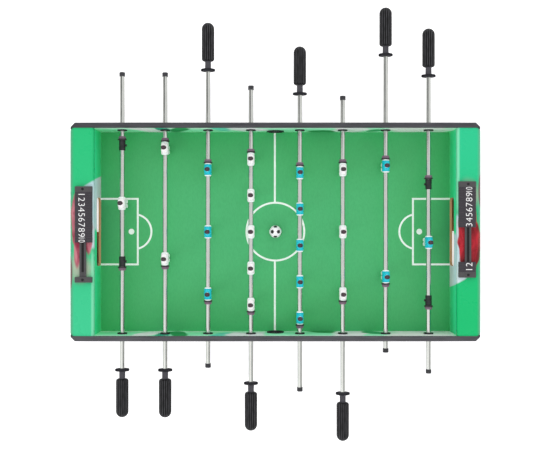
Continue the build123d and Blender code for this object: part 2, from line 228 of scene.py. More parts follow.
def pitch_print():
    """The grass print with a fine blade pattern, its colour painted lighter in the middle and darker by
    the walls as shade from them.
    """
    look = Look("pitch_print")
    across = look.math("DIVIDE", look.math("ABSOLUTE", look.y), WALL)
    along = look.math("DIVIDE", look.math("ABSOLUTE", look.x), HALF_PITCH_X)
    reach = look.math("MAXIMUM", look.math("POWER", across, 2.0), look.math("POWER", along, 3.0))
    # Painted shade: the grass colour darkens from the middle towards the walls and the ends
    grass_and_wall_shade = look.ramp(
        reach,
        [(0.0, srgb(80, 186, 120)), (0.45, srgb(76, 182, 112)), (0.8, srgb(70, 180, 108)),
         (1.0, srgb(66, 178, 108))],
    )
    blades = look.noise(420.0, 5.0, (1, 3, 1))
    grass_and_wall_shade = look.mix(look.step(blades, 0.35, 0.7, 0.0, 0.16), grass_and_wall_shade, srgb(44, 146, 82))
    look.colour(grass_and_wall_shade)
    return print_finish(look, 0.3, 0.45)


WAVE_LENSES = [
    # centre in X and in height (0 to 1), half length, half height, lean, colour
    (-0.300, 0.50, 0.030, 0.60, 0.030, srgb(255, 245, 255)),
    (-0.266, 0.80, 0.020, 0.60, 0.010, srgb(50, 168, 140)),
    (-0.228, 0.60, 0.024, 0.50, -0.02, srgb(44, 150, 88)),
    (-0.128, 0.80, 0.026, 0.45, 0.020, srgb(110, 220, 200)),
    (-0.074, 0.70, 0.044, 0.55, 0.025, srgb(252, 244, 255)),
    (0.112, 0.12, 0.032, 0.30, 0.000, srgb(40, 150, 82)),
    (0.178, 0.60, 0.042, 0.85, 0.020, srgb(255, 246, 255)),
    (0.345, 0.50, 0.082, 1.20, 0.000, srgb(255, 246, 252)),
    (0.236, 0.30, 0.022, 0.30, -0.03, srgb(64, 170, 112)),
]


def wave_print(look, along, height):
    """Bands of green with white and dark lenses along a wall: height goes from 0 to 1."""
    wisps = look.noise(7.0, 2.0, (4, 1, 1))
    level = look.math("ADD", height, look.step(wisps, 0.2, 0.8, -0.2, 0.2))
    bands = look.ramp(
        level,
        [(0.0, srgb(204, 254, 224)), (0.2, srgb(160, 248, 202)), (0.5, srgb(152, 248, 200)),
         (0.8, srgb(174, 250, 214)), (1.0, srgb(214, 254, 234))],
    )
    curl = look.step(look.noise(16.0, 1.0), 0.25, 0.75, -0.28, 0.28)
    for x, middle, half, tall, lean, colour in WAVE_LENSES:
        slid = look.math("MULTIPLY_ADD", look.math("SUBTRACT", height, middle), lean, along)
        inside = look.blob(slid, height, (x, middle), (half, tall), 0.18, curl)
        bands = look.mix(inside, bands, colour)
    return bands


def side_panel_look(name, lit_tone):
    """Dark grey laminate with a fine grain, and the wave print on the face above the pitch. The grey's
    tone is painted lighter on the near panel and darker on the far one, as light and shade on the same
    laminate.
    """
    look = Look(name)
    grain = look.noise(260.0, 5.0, (14, 1, 1))
    grey = look.ramp(
        grain, [(0.3, srgb(lit_tone - 10, lit_tone - 10, lit_tone - 6)), (0.7, srgb(lit_tone + 10, lit_tone + 9, lit_tone + 14))]
    )
    height = look.node("MapRange", {0: look.z, 1: PITCH, 2: RAIL})
    bands = wave_print(look, look.x, height)
    inside = look.math("LESS_THAN", look.math("ABSOLUTE", look.y), WALL + 0.2 * MM)
    between = look.math("LESS_THAN", look.math("ABSOLUTE", look.x), DECK_INNER + 2 * MM)
    low = look.step(look.z, RAIL - 5.5 * MM, RAIL - 6.5 * MM)
    above = look.math("MULTIPLY", look.math("GREATER_THAN", look.z, PITCH - MM), low)
    printed = look.math("MULTIPLY", look.math("MULTIPLY", inside, between), above)
    look.colour(look.mix(printed, grey, bands))
    return print_finish(look, 0.38, 0.5)


def grey_laminate():
    """Dark grey laminate with a fine grain."""
    look = Look("grey_laminate")
    grain = look.noise(260.0, 5.0, (1, 14, 1))
    look.colour(look.ramp(grain, [(0.3, srgb(62, 62, 66)), (0.7, srgb(82, 81, 86))]))
    return print_finish(look, 0.38, 0.5)


def look_between(first, second):
    """The colour half way between two."""
    return tuple((a + b) / 2 for a, b in zip(first, second))


def deck_print(name, side, green, light_green, red, pink, highlight_share, rim_shade_colour):
    """The end deck's abstract print, with a painted highlight along its rounded inner edge and painted
    shade on its rounded outer edge. The right deck is the left one turned by half a turn.
    """
    look = Look(name)
    out = look.math("MULTIPLY", look.x, float(side))
    up = look.math("MULTIPLY", look.y, -float(side))
    drift = look.noise(14.0, 2.0)
    warp = look.step(drift, 0.25, 0.75, -0.16, 0.16)
    base = look.mix(look.step(up, 0.2, -0.24), green, light_green)
    base = look.mix(look.step(look.noise(6.0, 1.0, (1, 4, 1)), 0.4, 0.7, 0.0, 0.35), base, light_green)
    pale = look.blob(out, up, (0.423, 0.045), (0.030, 0.088), 0.10, warp)
    slant = look.math("ADD", up, look.math("MULTIPLY", out, 0.55))
    pale = look.math("MULTIPLY", pale, look.step(slant, 0.355, 0.350))
    ice = look.mix(look.step(drift, 0.35, 0.65), srgb(208, 224, 228), srgb(180, 210, 216))
    base = look.mix(pale, base, ice)
    sand = look.blob(out, up, (0.452, -0.085), (0.024, 0.030), 0.55, warp)
    base = look.mix(look.math("MULTIPLY", sand, 0.75), base, srgb(182, 178, 164))
    flame = look.blob(out, up, (0.451, 0.030), (0.0265, 0.068), 0.07, warp)
    flame = look.math("MAXIMUM", flame, look.blob(out, up, (0.460, -0.035), (0.0075, 0.046), 0.2, warp))
    flame = look.math("MAXIMUM", flame, look.blob(out, up, (0.434, -0.020), (0.0085, 0.036), 0.2, warp))
    streaks = look.noise(70.0, 3.0, (1, 4, 1), 0.8)
    fire = look.ramp(streaks, [(0.34, red), (0.50, look_between(red, pink)), (0.62, pink)])
    base = look.mix(flame, base, fire)
    curve = look.blob(out, up, (0.479, -0.096), (0.0075, 0.043), 0.16)
    base = look.mix(curve, base, srgb(112, 76, 80))
    # Painted highlight: a pale band along the deck's rounded inner edge, where it catches light
    past_edge = look.math("ABSOLUTE", look.math("SUBTRACT", out, DECK_INNER + 2 * MM))
    inner_edge_highlight = look.step(past_edge, 6 * MM, 1 * MM)
    inner_edge_highlight = look.math("MULTIPLY", inner_edge_highlight, look.step(up, -0.035, -0.060, 0.0, highlight_share))
    base = look.mix(inner_edge_highlight, base, srgb(160, 236, 200))
    # Painted shade: the rounded outer edge is darkened towards its rim colour, less where the flame print
    # runs over it
    rim = look.step(out, TABLE_END - 11 * MM, TABLE_END - 2 * MM, 0.0, 0.9)
    bare = look.math("MULTIPLY_ADD", look.math("MAXIMUM", flame, curve), -0.85, 1.0)
    rim = look.math("MULTIPLY", rim, bare)
    look.colour(look.mix(rim, base, rim_shade_colour))
    return print_finish(look, 0.25, 0.38)


def goal_wall_print(name, side, top):
    """Green bands across the goal wall, ice blue round one half of the mouth, bare board inside. top is
    the colour at the wall's upper edge: painted pale on the right wall as a highlight and darker on the
    left wall as shade.
    """
    look = Look(name)
    up = look.math("MULTIPLY", look.y, -float(side))
    height = look.node("MapRange", {0: look.z, 1: PITCH, 2: DECK})
    # The top band blends to top: a painted highlight on the right wall and painted shade on the left one
    bands = look.ramp(
        height, [(0.0, srgb(110, 236, 160)), (0.10, srgb(60, 224, 146)), (0.6, srgb(54, 232, 160)),
                 (0.88, srgb(74, 236, 176)), (1.0, top)]
    )
    edge = look.math("MULTIPLY_ADD", height, -0.0145, 0.1345)
    pale = look.step(look.math("SUBTRACT", up, edge), 2 * MM, -2 * MM)
    pale = look.math("MULTIPLY", pale, look.step(up, 0.0, 10 * MM))
    ice = look.mix(height, srgb(236, 222, 234), srgb(206, 240, 255))
    bands = look.mix(pale, bands, ice)
    face = look.math("LESS_THAN", look.math("ABSOLUTE", look.x), HALF_PITCH_X + 0.2 * MM)
    flecks = look.noise(1500.0, 4.0)
    board = look.ramp(
        flecks, [(0.3, srgb(200, 150, 98)), (0.5, srgb(226, 180, 124)), (0.75, srgb(238, 202, 154))]
    )
    look.colour(look.mix(face, board, bands))
    look.rough(0.4, 0.6, 60.0)
    look.bump(flecks, 0.00004, 0.4)
    return look.material


def rail_look():
    """Moulded plastic with the bead slot's shadow along the middle of each rail."""
    look = Look("rail_plastic", Specular_IOR_Level=0.3)
    across = look.math("ABSOLUTE", look.math("SUBTRACT", look.math("ABSOLUTE", look.x), RAIL_MIDDLE))
    slot = look.step(across, 2.2 * MM, 3.6 * MM, 1.0, 0.0)
    block = look.step(look.math("ABSOLUTE", look.y), SLOT_END - 0.5 * MM, SLOT_END + 0.5 * MM)
    slot = look.math("MULTIPLY", slot, look.math("SUBTRACT", 1.0, block))
    look.colour(look.mix(slot, look.vary(srgb(72, 70, 72), 0.06, 90.0), srgb(16, 11, 14)))
    look.rough(0.36, 0.48, 300.0)
    look.bump(look.math("MULTIPLY", slot, -1.0), 0.4 * MM, 0.6)
    return look.material


def grip_look():
    """Moulded grip, painted lighter on the ridges as a highlight and dark down in the grooves between them
    as shade.
    """
    look = Look("grip_plastic", Specular_IOR_Level=0.2)
    turn = look.math("ARCTAN2", look.x, look.z)
    # Painted highlight and shade: light on the ridges, near black in the grooves, made patchy by noise
    groove = look.math("MULTIPLY_ADD", look.math("COSINE", look.math("MULTIPLY", turn, RIDGES)), -0.5, 0.5)
    shade_patches = look.step(look.noise(160.0, 3.0, (1, 3, 1)), 0.3, 0.7, -0.08, 0.08)
    groove = look.math("ADD", groove, shade_patches)
    look.colour(look.ramp(
        groove,
        [(0.0, srgb(76, 76, 80)), (0.18, srgb(38, 38, 41)), (0.40, srgb(5, 5, 6)), (1.0, srgb(2, 2, 2))]
    ))
    look.rough(0.42, 0.55, 300.0)
    look.bump(look.noise(1100.0, 2.0), 0.00006, 0.5)
    return look.material


def guard_look():
    """The grip's plastic on the neck and the hand guard, painted lighter inside the guard's rim as a
    reflection on its face, so darkest round the rim.
    """
    look = Look("guard_plastic", Specular_IOR_Level=0.0)
    across = look.math("SQRT", look.math(
        "ADD", look.math("MULTIPLY", look.x, look.x), look.math("MULTIPLY", look.z, look.z)
    ))
    # Painted reflection: within 13 mm of the axis the plastic is painted lighter grey, while its specular
    # is off
    painted_reflection = look.step(across, 14.8 * MM, 13.0 * MM)
    look.colour(look.mix(painted_reflection, srgb(46, 46, 50), look.vary(srgb(82, 81, 86), 0.12, 700.0)))
    look.rough(0.8, 0.95, 300.0)
    look.bump(look.noise(1100.0, 2.0), 0.00004, 0.5)
    return look.material


def dark_steel(name):
    """Blackened steel, finely marked."""
    look = Look(name, Metallic=0.5)
    look.colour(look.vary(srgb(26, 23, 26), 0.12, 900.0))
    look.rough(0.25, 0.45, 900.0)
    look.bump(look.noise(2500.0, 2.0), 0.00002, 0.4)
    return look.material


WHITE_PRINT = plastic("white_print", srgb(246, 255, 248), 0.45, 900.0, 0.00001, 0.03)
CHROME = chrome("rod_chrome")
MDF = bare_mdf("bare_mdf")
RIDGES = 20
BLACK = plastic("black_nylon", srgb(36, 36, 39), 0.42, Specular_IOR_Level=0.3)
GRIP = grip_look()
GUARD = guard_look()
CAP = plastic("cap_plastic", srgb(52, 52, 56), 0.5, Specular_IOR_Level=0.3)
COUNTER = plastic("counter_plastic", srgb(58, 54, 60), 0.42, 1600.0, 0.00004, Specular_IOR_Level=0.3)
DIGIT = plastic("digit_paint", srgb(246, 246, 246), 0.5, 1200.0, 0.00002, 0.02)
RUBBER = plastic("bumper_rubber", srgb(122, 98, 116), 0.75, 800.0, 0.00008, 0.12)
FLANGE = plastic("bumper_flange", srgb(50, 40, 48), 0.55)
FOOT = plastic("foot_rubber", srgb(34, 34, 36), 0.85, 700.0, 0.0001)
STEEL = dark_steel("screw_steel")
WHITE_SHIRT = plastic("white_shirt", srgb(255, 249, 253), 0.30, 900.0, 0.00003, 0.02)
BLUE_SHIRT = plastic("blue_shirt", srgb(6, 196, 216), 0.28, 900.0, 0.00003, 0.05)
TRIM = plastic("white_trim", srgb(250, 254, 255), 0.30, 900.0, 0.00003, 0.02)
SKIN = plastic("skin_paint", srgb(226, 178, 150), 0.38, 900.0, 0.00003, 0.05)
HAIR = plastic("hair_paint", srgb(62, 38, 50), 0.45, 700.0, 0.00006, 0.15)
EYE = plastic("eye_paint", srgb(38, 32, 34), 0.35)
BALL_WHITE = plastic("ball_white", srgb(255, 252, 255), 0.32, 700.0, 0.00004, 0.03)
BALL_BLACK = plastic("ball_black", srgb(12, 12, 14), 0.32, 700.0, 0.00004, 0.05)


# ---------------------------------------------------------------- mesh tools


def signed_power(value, power):
    return math.copysign(abs(value) ** power, value)


class Shape:
    """A mesh put together from closed forms, each with a number for its material."""

    def __init__(self):
        self.mesh = bmesh.new()

    def ring(self, centre, side, up, half, power, count):
        """Points round a superellipse. side and up are unit vectors and half its two half widths."""
        points = []
        for step in range(count):
            turn = math.tau * step / count
            a = half[0] * signed_power(math.cos(turn), 2 / power)
            b = half[1] * signed_power(math.sin(turn), 2 / power)
            points.append(self.mesh.verts.new(centre + side * a + up * b))
        return points

    def close(self, ring, tip, material, flip):
        """Fans a ring shut onto a point."""
        end = self.mesh.verts.new(tip)
        for step, first in enumerate(ring):
            second = ring[(step + 1) % len(ring)]
            corners = (second, first, end) if flip else (first, second, end)
            self.mesh.faces.new(corners).material_index = material

    def wall(self, rings, materials):
        """Walls from ring to ring, with a material for each."""
        for low, high, material in zip(rings, rings[1:], materials):
            for step in range(len(low)):
                after = (step + 1) % len(low)
                face = self.mesh.faces.new((low[step], low[after], high[after], high[step]))
                face.material_index = material

    def skin(self, rings, material):
        """Walls between rings, closed at both ends. material is one number, or one for each wall."""
        walls = [material] * (len(rings) - 1) if isinstance(material, int) else material
        self.wall(rings, walls)
        for ring, slot, flip in ((rings[0], walls[0], True), (rings[-1], walls[-1], False)):
            middle = sum((vert.co for vert in ring), Vector()) / len(ring)
            self.close(ring, middle, slot, flip)

    def loft_z(self, sections, material, power=2.6, count=24):
        """Sections up Z: (z, middle x, middle y, half x, half y), in millimetres."""
        rings = [
            self.ring(
                Vector((x, y, z)) * MM, Vector((1, 0, 0)), Vector((0, 1, 0)),
                (half_x * MM, half_y * MM), power, count,
            )
            for z, x, y, half_x, half_y in sections
        ]
        self.skin(rings, material)

    def loft_y(self, sections, material, power=2.0, count=24):
        """Sections along Y: (y, middle x, middle z, half x, half z), in millimetres."""
        rings = [
            self.ring(
                Vector((x, y, z)) * MM, Vector((0, 0, 1)), Vector((1, 0, 0)),
                (half_z * MM, half_x * MM), power, count,
            )
            for y, x, z, half_x, half_z in sections
        ]
        self.skin(rings, material)

    def ball(self, centre, half, material, rows=12, count=20):
        """An ellipsoid, in millimetres."""
        sections = []
        for row in range(1, rows):
            lean = math.pi * row / rows
            shrink = math.sin(lean)
            sections.append(
                (centre[2] - half[2] * math.cos(lean), centre[0], centre[1],
                 half[0] * shrink, half[1] * shrink)
            )
        rings = [
            self.ring(
                Vector((x, y, z)) * MM, Vector((1, 0, 0)), Vector((0, 1, 0)),
                (a * MM, b * MM), 2.0, count,
            )
            for z, x, y, a, b in sections
        ]
        self.wall(rings, [material] * len(rings))
        x, y, z = centre
        self.close(rings[0], Vector((x, y, z - half[2])) * MM, material, True)
        self.close(rings[-1], Vector((x, y, z + half[2])) * MM, material, False)

    def tube_y(self, outline, bore, material, count=48):
        """A turned part along Y with a bore: outline is (y, radius), in millimetres."""
        turns = [math.tau * step / count for step in range(count)]
        rings = [
            [
                self.mesh.verts.new(Vector((math.sin(turn) * reach, y, math.cos(turn) * reach)) * MM)
                for turn in turns
            ]
            for y, reach in outline + [(outline[-1][0], bore), (outline[0][0], bore)]
        ]
        self.wall(rings + [rings[0]], [material] * len(rings))

    def slab(self, corners, low, high, material=0):
        """A flat plate over a plan outline, in metres."""
        bottom = [self.mesh.verts.new((x, y, low)) for x, y in corners]
        top = [self.mesh.verts.new((x, y, high)) for x, y in corners]
        count = len(corners)
        self.mesh.faces.new(top).material_index = material
        self.mesh.faces.new(reversed(bottom)).material_index = material
        for step in range(count):
            after = (step + 1) % count
            corners_of_side = (bottom[step], bottom[after], top[after], top[step])
            self.mesh.faces.new(corners_of_side).material_index = material

    def data(self, name, materials, sharp=40.0):
        """The finished mesh, smooth except where it turns by more than sharp degrees."""
        bmesh.ops.recalc_face_normals(self.mesh, faces=self.mesh.faces)
        for face in self.mesh.faces:
            face.smooth = True
        for edge in self.mesh.edges:
            if len(edge.link_faces) == 2 and edge.calc_face_angle(0.0) > math.radians(sharp):
                edge.smooth = False
        made = bpy.data.meshes.new(name)
        self.mesh.to_mesh(made)
        self.mesh.free()
        for material in materials:
            made.materials.append(material)
        return made


def put(name, data, body, at=(0, 0, 0), turn=0.0):
    """Places a mesh in the row frame, turned about Z, and lets it ride on a body."""
    piece = bpy.data.objects.new(name, data)
    bpy.context.scene.collection.objects.link(piece)
    piece.matrix_world = Matrix.Translation(Vector(at)) @ Matrix.Rotation(turn, 4, "Z")
    bpy.context.view_layer.update()
    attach(piece, body)
    return piece


def body_of_node(node):
    """The name of the body that a CAD node is in."""
    return next(
        body for body, nodes in frame["record"]["behaviour"]["bodies"].items() if node in nodes
    )


def paint(node, material):
    """Gives a CAD node its finish."""
    data = frame["nodes"][node].data
    data.materials.clear()
    data.materials.append(material)


def soften(node, width, angle=35.0):
    """Rounds a CAD node's sharp edges slightly, as moulding and machining leave them."""
    bevel = frame["nodes"][node].modifiers.new("edges", "BEVEL")
    bevel.width = width
    bevel.segments = 2
    bevel.limit_method = "ANGLE"
    bevel.angle_limit = math.radians(angle)


# ---------------------------------------------------------------- cabinet

# The same laminate on both sides: painted lighter on the near panel as light and darker on the far one as
# shade
paint("near_side_panel", side_panel_look("near_laminate_lit", 76))
paint("far_side_panel", side_panel_look("far_laminate_shaded", 66))
for node in ("left_end_panel", "right_end_panel"):
    paint(node, grey_laminate())
# The last two arguments are the strength of each deck's painted inner edge highlight and the colour of its
# painted rim shade
paint("left_end_deck", deck_print(
    "left_deck_print", -1, srgb(20, 184, 108), srgb(54, 194, 138), srgb(140, 30, 60), srgb(202, 124, 136),
    0.5, srgb(84, 152, 120)
))
paint("right_end_deck", deck_print(
    "right_deck_print", 1, srgb(4, 184, 108), srgb(36, 194, 138), srgb(104, 4, 18), srgb(184, 30, 46),
    0.6, srgb(96, 166, 132)
))
# The last colour is each goal wall's top edge: painted shade on the left, a painted highlight on the right
paint("left_goal_wall", goal_wall_print("left_goal_print", -1, srgb(40, 206, 140)))
paint("right_goal_wall", goal_wall_print("right_goal_print", 1, srgb(176, 250, 216)))
paint("pitch_board", pitch_print())
paint("goal_ramps", MDF)
paint("rod_bearings", BLACK)
paint("ball_entry_cups", BLACK)
paint("score_rails", rail_look())
paint("feet", FOOT)
paint("assembly_screws", STEEL)
for node in ("score_rails", "ball_entry_cups", "rod_bearings"):
    soften(node, 0.4 * MM)


# ---------------------------------------------------------------- pitch markings

LINE_WIDTH = 4.6 * MM
LINE_LOW = PITCH + 0.02 * MM
LINE_HIGH = PITCH + 0.12 * MM
CIRCLE_RADIUS = 70.3 * MM
CENTRE_LINE_X = -1.2 * MM
BOX_LINE_X = 334.6 * MM
BOX_HALF_WIDTH = 79.7 * MM
SPOT_X = 350.0 * MM
SPOT_RADIUS = 7.0 * MM
ARC_X = 344.0 * MM
ARC_RADIUS = 42.5 * MM


def bar(shape, start, end):
    """A straight line between two points, square-ended."""
    start, end = Vector(start), Vector(end)
    side = (end - start).normalized().orthogonal() * (LINE_WIDTH / 2)
    corners = (start - side, end - side, end + side, start + side)
    shape.slab([tuple(corner) for corner in corners], LINE_LOW, LINE_HIGH)


def arc(shape, centre, radius, start, sweep, steps=64):
    """A curved line round a centre, from one angle on through a sweep."""
    for step in range(steps):
        first = start + sweep * step / steps
        second = start + sweep * (step + 1) / steps
        corners = []
        for turn, reach in ((first, -0.5), (first, 0.5), (second, 0.5), (second, -0.5)):
            length = radius + reach * LINE_WIDTH
            corners.append(
                (centre[0] + length * math.cos(turn), centre[1] + length * math.sin(turn))
            )
        shape.slab(corners, LINE_LOW, LINE_HIGH)


lines = Shape()
arc(lines, (0, 0), CIRCLE_RADIUS, 0, math.tau, 96)
for end in (-1, 1):
    bar(lines, (CENTRE_LINE_X, end * (CIRCLE_RADIUS + LINE_WIDTH / 2 - 0.04 * MM)),
        (CENTRE_LINE_X, end * WALL))
    bar(lines, (end * BOX_LINE_X, -BOX_HALF_WIDTH - LINE_WIDTH / 2),
        (end * BOX_LINE_X, BOX_HALF_WIDTH + LINE_WIDTH / 2))
    for side in (-1, 1):
        bar(lines, (end * (BOX_LINE_X + LINE_WIDTH / 2), side * BOX_HALF_WIDTH),
            (end * HALF_PITCH_X, side * BOX_HALF_WIDTH))
    half_sweep = math.acos((ARC_X - BOX_LINE_X + LINE_WIDTH / 2) / ARC_RADIUS)
    middle_angle = math.pi if end > 0 else 0.0
    arc(lines, (end * ARC_X, 0), ARC_RADIUS, middle_angle - half_sweep, 2 * half_sweep)
    spot = [
        (end * SPOT_X + SPOT_RADIUS * math.cos(math.tau * k / 32),
         SPOT_RADIUS * math.sin(math.tau * k / 32))
        for k in range(32)
    ]
    lines.slab(spot, LINE_LOW, LINE_HIGH)
put("pitch_markings", lines.data("pitch_markings", [WHITE_PRINT]), "table")


# ---------------------------------------------------------------- players

PLAYER_HALF_WIDTH = 15.5


def player_mesh(name, shirt):
    """A player of 85 mm, facing +X, with the rod's axis along Y through the origin."""
    figure = Shape()
    shirt_slot, trim, skin, hair, eye = range(5)
    # Boots on one block, with the two soles apart
    for side in (-1, 1):
        figure.loft_z(
            [(-48.9, 0.4, side * 5.1, 4.6, 4.5), (-48.3, 0.4, side * 5.1, 5.2, 4.9),
             (-44.5, 0.5, side * 5.1, 5.3, 4.9), (-41.5, 0.2, side * 5.0, 4.9, 4.6),
             (-38.5, 0.0, side * 4.8, 4.0, 3.9), (-37.5, 0.0, side * 4.8, 3.6, 3.5)],
            trim, 3.4,
        )
        # Sock with its turned-over top, then the knee and thigh
        figure.loft_z(
            [(-40.0, 0, side * 4.8, 3.7, 3.6), (-33.0, -0.3, side * 4.8, 4.4, 4.1),
             (-28.0, -0.2, side * 4.8, 4.5, 4.2), (-27.6, -0.2, side * 4.8, 4.9, 4.5),
             (-25.4, -0.1, side * 4.8, 4.9, 4.5), (-25.0, -0.1, side * 4.8, 4.4, 4.1)],
            shirt_slot, 2.3,
        )
        figure.loft_z(
            [(-26.5, 0, side * 4.8, 4.0, 3.9), (-22.0, 0.3, side * 4.9, 4.5, 4.3),
             (-14.0, 0, side * 5.1, 5.2, 4.7)],
            skin, 2.2,
        )
        # Shorts, one leg each
        figure.loft_z(
            [(-21.8, 0.1, side * 5.2, 5.9, 5.1), (-21.2, 0.1, side * 5.2, 6.3, 5.4),
             (-15.0, 0, side * 5.3, 6.8, 5.8), (-9.0, 0, side * 5.0, 7.0, 6.0)],
            trim, 2.6,
        )
        # Arm below the sleeve, with its hand
        figure.loft_z(
            [(-16.5, 1.8, side * 12.4, 1.4, 1.3), (-15.0, 1.8, side * 12.5, 2.3, 2.0),
             (-11.5, 1.6, side * 12.7, 2.4, 2.1), (-9.5, 1.2, side * 12.8, 2.0, 1.9),
             (-4.0, 0.6, side * 12.9, 2.7, 2.3)],
            skin, 2.2, 16,
        )
    figure.loft_z(
        [(-13.5, 0, 0, 7.2, 10.4), (-12.0, 0, 0, 7.6, 10.9), (-7.0, 0, 0, 7.5, 10.8),
         (-5.5, 0, 0, 7.3, 10.6)],
        trim, 2.8,
    )
    # Shirt, its hem proud of the shorts
    figure.loft_z(
        [(-9.6, 0, 0, 7.4, 10.7), (-9.0, 0, 0, 8.0, 11.3), (-4.0, 0, 0, 8.1, 11.6),
         (4.0, 0.1, 0, 8.4, 12.2), (11.0, 0.2, 0, 8.7, 13.0), (16.0, 0, 0, 8.2, 13.0),
         (19.5, -0.2, 0, 6.6, 11.2), (21.8, -0.2, 0, 4.6, 7.6), (22.6, -0.2, 0, 3.4, 5.0)],
        shirt_slot, 2.7, 32,
    )
    # Sleeves round the rod, with white cuffs
    for side in (-1, 1):
        sleeve = [(4.0, 8.4, 12.2), (9.5, 8.8, 12.0), (12.0, 8.5, 11.4), (12.9, 8.0, 11.0)]
        figure.loft_y(
            [(side * y, 0, 3.0, half_x, half_z) for y, half_x, half_z in sleeve],
            shirt_slot, 2.5, 32,
        )
        cuff = [(12.6, 7.8, 10.8), (12.9, 8.2, 11.2), (14.1, 7.7, 10.6), (15.0, 6.8, 9.7),
                (PLAYER_HALF_WIDTH, 5.6, 8.8)]
        figure.loft_y(
            [(side * y, 0, 3.0, half_x, half_z) for y, half_x, half_z in cuff], trim, 2.5, 32
        )
    # Collar, neck, head and hair
    figure.loft_z(
        [(21.0, -0.2, 0, 4.3, 4.9), (22.6, -0.2, 0, 4.5, 5.1), (23.8, -0.2, 0, 3.9, 4.3),
         (24.0, -0.2, 0, 3.4, 3.6)],
        trim, 2.0,
    )
    figure.loft_z([(22.0, -0.2, 0, 3.0, 3.0), (26.5, -0.1, 0, 2.9, 2.9)], skin, 2.0, 16)
    figure.ball((0.5, 0, 29.0), (5.4, 4.5, 6.3), skin)
    figure.ball((0.2, 0, 30.6), (6.1, 4.95, 5.4), hair)
    figure.loft_z(
        [(23.9, -3.4, 0, 1.6, 2.8), (25.5, -3.5, 0, 2.4, 3.8), (30.0, -3.4, 0, 2.9, 4.6)],
        hair, 2.2, 20,
    )
    figure.ball((5.9, 0, 28.2), (0.9, 0.7, 1.0), skin, 8, 12)
    for side in (-1, 1):
        figure.ball((5.35, side * 1.7, 29.6), (0.35, 0.6, 0.5), eye, 8, 12)
        figure.ball((5.25, side * 1.75, 31.1), (0.35, 0.9, 0.22), hair, 8, 12)
        figure.ball((0.3, side * 4.5, 28.6), (1.0, 0.6, 1.4), skin, 8, 12)
    figure.ball((5.1, 0, 25.9), (0.4, 1.2, 0.25), eye, 8, 12)
    return figure.data(name, [shirt, TRIM, SKIN, HAIR, EYE], 50.0)


def collar_mesh():
    """A goalie rod's stop collar, with its clamp screw towards +X."""
    collar = Shape()
    half, radius = 12.0, 7.6
    collar.tube_y(
        [(-half, radius - 0.6), (-half + 0.6, radius), (-2.0, radius), (-1.6, radius - 0.3),
         (1.6, radius - 0.3), (2.0, radius), (half - 0.6, radius), (half, radius - 0.6)],
        5.75, 0, 40,
    )
    knob = [(6.6, 2.3), (7.9, 2.3), (8.2, 2.9), (10.2, 2.9), (10.5, 2.6)]
    rings = [
        collar.ring(Vector((x, 0, 0)) * MM, Vector((0, 1, 0)), Vector((0, 0, 1)),
                    (radius * MM, radius * MM), 2.0, 20)
        for x, radius in knob
    ]
    collar.skin(rings, 0)
    return collar.data("stop_collar", [BLACK])


PLAYER_MESH = {
    "white": player_mesh("white_player", WHITE_SHIRT),
    "blue": player_mesh("blue_player", BLUE_SHIRT),
}
COLLAR_MESH = collar_mesh()
ROW_SIZES = {"goalie": 1, "defence": 2, "attack": 3, "midfield": 5}
COLLAR_OFFSET = 137.5 * MM


def row_places(rod):
    """Where the players of a rod stand, in Y, worked out from the box of their node."""
    low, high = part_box(f"{rod}_players")
    middle = (low[1] + high[1]) / 2
    count = ROW_SIZES[rod.split("_")[1]]
    if count == 1:
        return [middle]
    half = (high[1] - low[1]) / 2 - PLAYER_HALF_WIDTH * MM
    return [middle - half + 2 * half * step / (count - 1) for step in range(count)]


def rod_axis(rod):
    """The X and Z of a rod's axis."""
    low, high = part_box(f"{rod}_rod")
    return (low[0] + high[0]) / 2, (low[2] + high[2]) / 2


for rod in RODS:
    team = rod.split("_")[0]
    x, z = rod_axis(rod)
    turn = 0.0 if team == "white" else math.pi
    body = body_of_node(f"{rod}_players")
    pieces = [
        put(f"{rod}_player_{number}", PLAYER_MESH[team], body, (x, y, z), turn)
        for number, y in enumerate(row_places(rod), 1)
    ]
    if rod.endswith("goalie"):
        middle = row_places(rod)[0]
        pieces += [
            put(f"{rod}_stop_collar_{word}", COLLAR_MESH, body,
                (x, middle + end * COLLAR_OFFSET, z), turn)
            for end, word in ((-1, "near"), (1, "far"))
        ]
    for piece in pieces:
        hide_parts(f"{rod}_players")


# ---------------------------------------------------------------- handles, bumpers and rods

ROD_BORE = 5.75
RIDGE_DEPTH = 1.0
GRIP_RADIUS = 14.8
GUARD_START = 0.8
GUARD_RADIUS = 16.8
GUARD_THICKNESS = 5.0
GRIP_START = 24.0
HANDLE_LENGTH = 115.7


